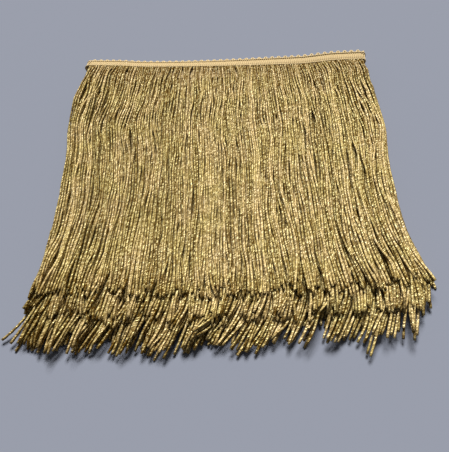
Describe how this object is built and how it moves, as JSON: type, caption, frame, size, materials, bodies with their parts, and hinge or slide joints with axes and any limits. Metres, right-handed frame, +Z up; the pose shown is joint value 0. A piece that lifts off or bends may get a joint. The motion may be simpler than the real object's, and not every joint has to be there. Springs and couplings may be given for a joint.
{
  "type": "chainette fringe trim",
  "caption": "Long chainette fringe trim with a narrow picot-edged braid heading and dense metallic cords, wound flat in several turns and laid down.",
  "frame": {"origin": "middle of the trim's footprint, on the surface that it lies on", "axes": "+X along the heading, +Y from the cut ends of the cords towards the heading, +Z up"},
  "size_m": [0.2434, 0.2538, 0.0148],
  "materials": {
    "heading_braid": "matte braid with a faint metallic thread",
    "chainette": "metallic knitted cord, satin with fine glints"
  },
  "bodies": {
    "root": {"heading": "heading_braid", "skirt_front_outer": "chainette", "skirt_front_middle": "chainette", "skirt_front_inner": "chainette", "skirt_back_inner": "chainette", "skirt_back_middle": "chainette", "skirt_back_outer": "chainette"}
  },
  "joints": []
}
